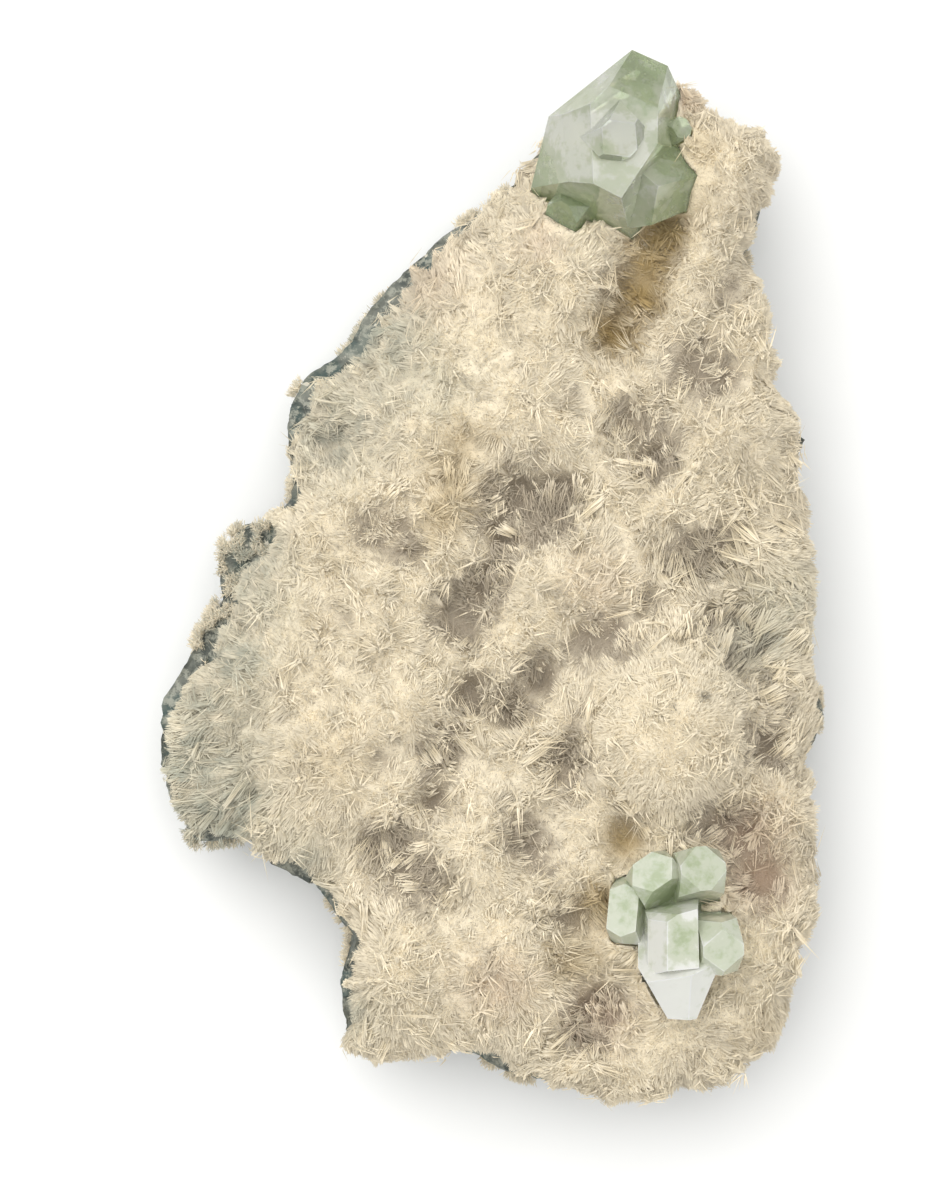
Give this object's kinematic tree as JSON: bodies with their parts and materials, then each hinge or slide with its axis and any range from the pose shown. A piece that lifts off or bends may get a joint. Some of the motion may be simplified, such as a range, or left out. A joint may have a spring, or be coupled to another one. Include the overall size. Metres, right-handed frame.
{
  "type": "mineral specimen, apophyllite on scolecite",
  "caption": "Natural hand specimen: pale green apophyllite crystals on a thick cream crust of radiating scolecite needles over dark basalt, lying on its flat back.",
  "frame": {"origin": "on the plane that the specimen rests on, under the middle of its overall box", "axes": "+Z up, away from the resting plane and towards the crystal face; +Y along the specimen's length towards its large crystal cluster; +X to the right when the crystal face is seen from above with +Y up"},
  "size_m": [0.1153, 0.1797, 0.0498],
  "materials": {
    "basalt": "matt dark grey-green rock, freshly broken at the sides and weathered teal at the edge",
    "scolecite": "silky cream to white radiating needles, slightly translucent, grey in the hollows",
    "apophyllite": "glassy, milky pale green crystals with pearly basal faces"
  },
  "bodies": {
    "root": {"basalt_matrix": "basalt", "scolecite_crust": "scolecite", "apophyllite_large_cluster": "apophyllite", "apophyllite_small_cluster": "apophyllite"}
  },
  "joints": []
}
